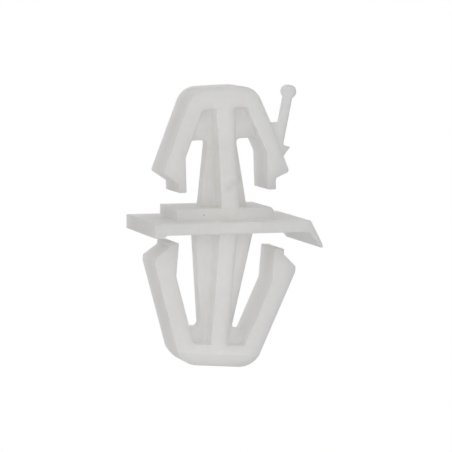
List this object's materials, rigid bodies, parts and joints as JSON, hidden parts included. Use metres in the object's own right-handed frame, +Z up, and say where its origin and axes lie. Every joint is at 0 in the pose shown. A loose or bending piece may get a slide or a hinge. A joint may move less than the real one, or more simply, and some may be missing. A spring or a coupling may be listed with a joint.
{
  "type": "molding clip",
  "caption": "Moulded nylon clip: flange with drooping skirt, raised pad, barbed anchor below for a body panel and winged anchor above for a trim strip.",
  "frame": {"origin": "centre of the stems where they cross the flat underside of the flange", "axes": "+X along the flange towards the drooping skirt, -Y the front of the picture, +Z up the stem to the upper anchor"},
  "size_m": [0.0173, 0.0106, 0.0282],
  "materials": {
    "nylon": "natural moulded nylon, satin"
  },
  "bodies": {
    "root": {"clip": "nylon"}
  },
  "joints": []
}
